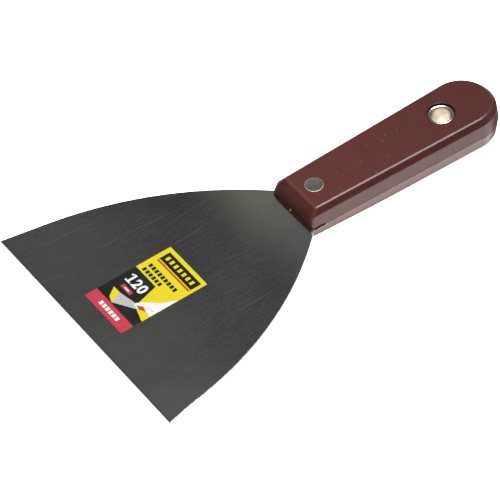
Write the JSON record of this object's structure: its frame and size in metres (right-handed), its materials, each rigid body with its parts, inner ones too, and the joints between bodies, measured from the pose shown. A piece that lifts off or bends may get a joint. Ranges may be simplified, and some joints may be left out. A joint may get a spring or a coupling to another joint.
{
  "type": "filling knife",
  "caption": "Wide-blade filling knife: fan-shaped steel blade in a riveted plastic handle with an eyelet-lined hanging hole.",
  "frame": {"origin": "middle of the blade's cutting edge, on its end face", "axes": "+X along the tool from the cutting edge to the butt, +Y to the blade's left edge, +Z out of the labelled face"},
  "size_m": [0.2062, 0.12, 0.0173],
  "materials": {
    "blade_steel": "dark ground spring steel, fine streaks along the tool",
    "handle_plastic": "moulded maroon plastic, semi-gloss with faint speckle",
    "rivet_steel": "dull rough steel with a bright rounded rim",
    "eyelet_nickel": "bright nickel plate",
    "label_print": "printed sticker in yellow, black, red and white"
  },
  "bodies": {
    "root": {"blade": "blade_steel", "handle_upper_half": "handle_plastic", "handle_lower_half": "handle_plastic", "rivet_sleeve": "rivet_steel", "rivet_post": "rivet_steel", "hanging_eyelet": "eyelet_nickel", "eyelet_washer": "eyelet_nickel", "size_label": "label_print"}
  },
  "joints": []
}
